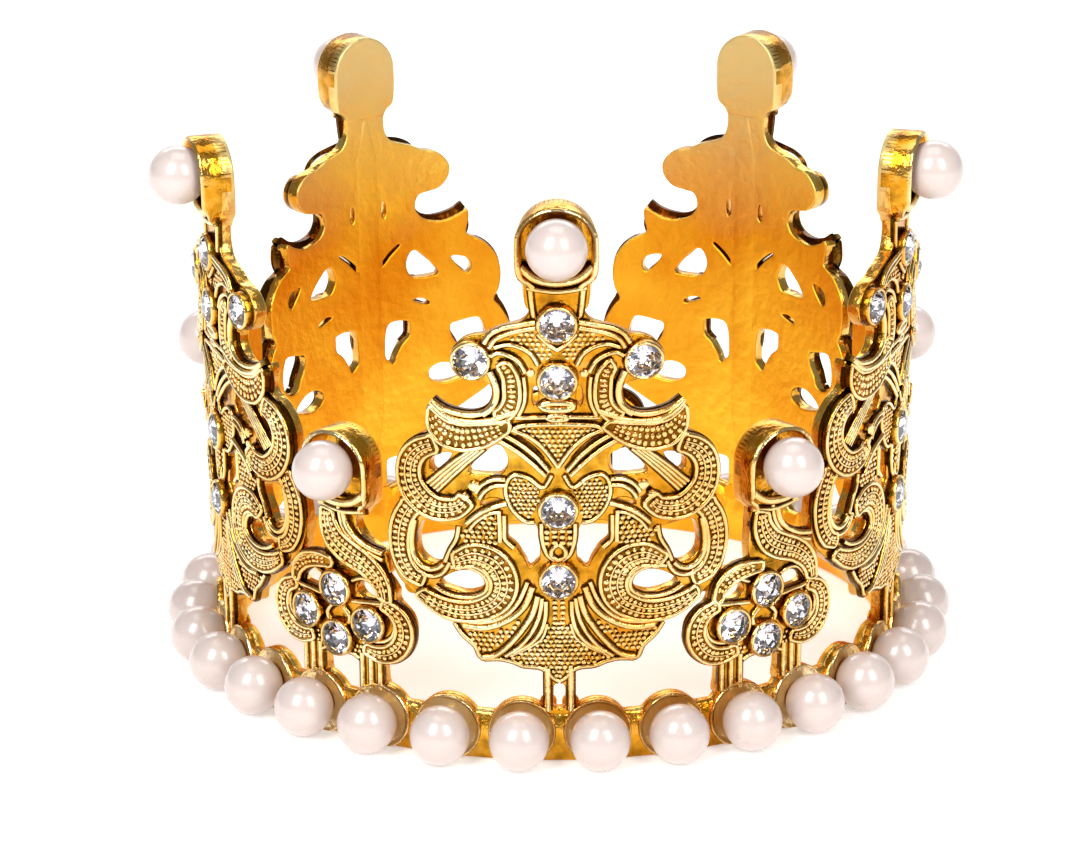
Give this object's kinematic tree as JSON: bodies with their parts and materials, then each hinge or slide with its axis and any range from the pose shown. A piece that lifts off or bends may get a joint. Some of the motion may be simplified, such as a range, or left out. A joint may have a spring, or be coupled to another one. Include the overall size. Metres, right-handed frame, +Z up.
{
  "type": "crown",
  "caption": "Small round openwork crown: a pearl-set band with tall and short scroll panels around it, set with round clear stones and topped with pearls.",
  "frame": {"origin": "centre of the band's flat underside", "axes": "+Z up along the ring's axis; -Y towards the front tall panel; +X to that panel's left as worn, to the right for someone facing it"},
  "size_m": [0.069, 0.071, 0.0481],
  "materials": {
    "gold_casting": "polished gold plate on a zinc alloy casting",
    "solder": "gold-plated solder",
    "pearl": "nacre lacquer on ABS",
    "stone": "foil-backed cut glass"
  },
  "bodies": {
    "root": {"base_band": "gold_casting", "band_pearls_front": "pearl", "band_pearls_right": "pearl", "band_pearls_back_right": "pearl", "band_pearls_back_left": "pearl", "band_pearls_left": "pearl", "tall_panel_front": "gold_casting", "tall_panel_right": "gold_casting", "tall_panel_back_right": "gold_casting", "tall_panel_back_left": "gold_casting", "tall_panel_left": "gold_casting", "tall_pearl_front": "pearl", "tall_pearl_right": "pearl", "tall_pearl_back_right": "pearl", "tall_pearl_back_left": "pearl", "tall_pearl_left": "pearl", "tall_stones_front": "stone", "tall_stones_right": "stone", "tall_stones_back_right": "stone", "tall_stones_back_left": "stone", "tall_stones_left": "stone", "short_panel_front_right": "gold_casting", "short_panel_right": "gold_casting", "short_panel_back": "gold_casting", "short_panel_left": "gold_casting", "short_panel_front_left": "gold_casting", "short_pearl_front_right": "pearl", "short_pearl_right": "pearl", "short_pearl_back": "pearl", "short_pearl_left": "pearl", "short_pearl_front_left": "pearl", "short_stones_front_right": "stone", "short_stones_right": "stone", "short_stones_back": "stone", "short_stones_left": "stone", "short_stones_front_left": "stone", "foot_solder": "solder", "side_solder": "solder"}
  },
  "joints": []
}
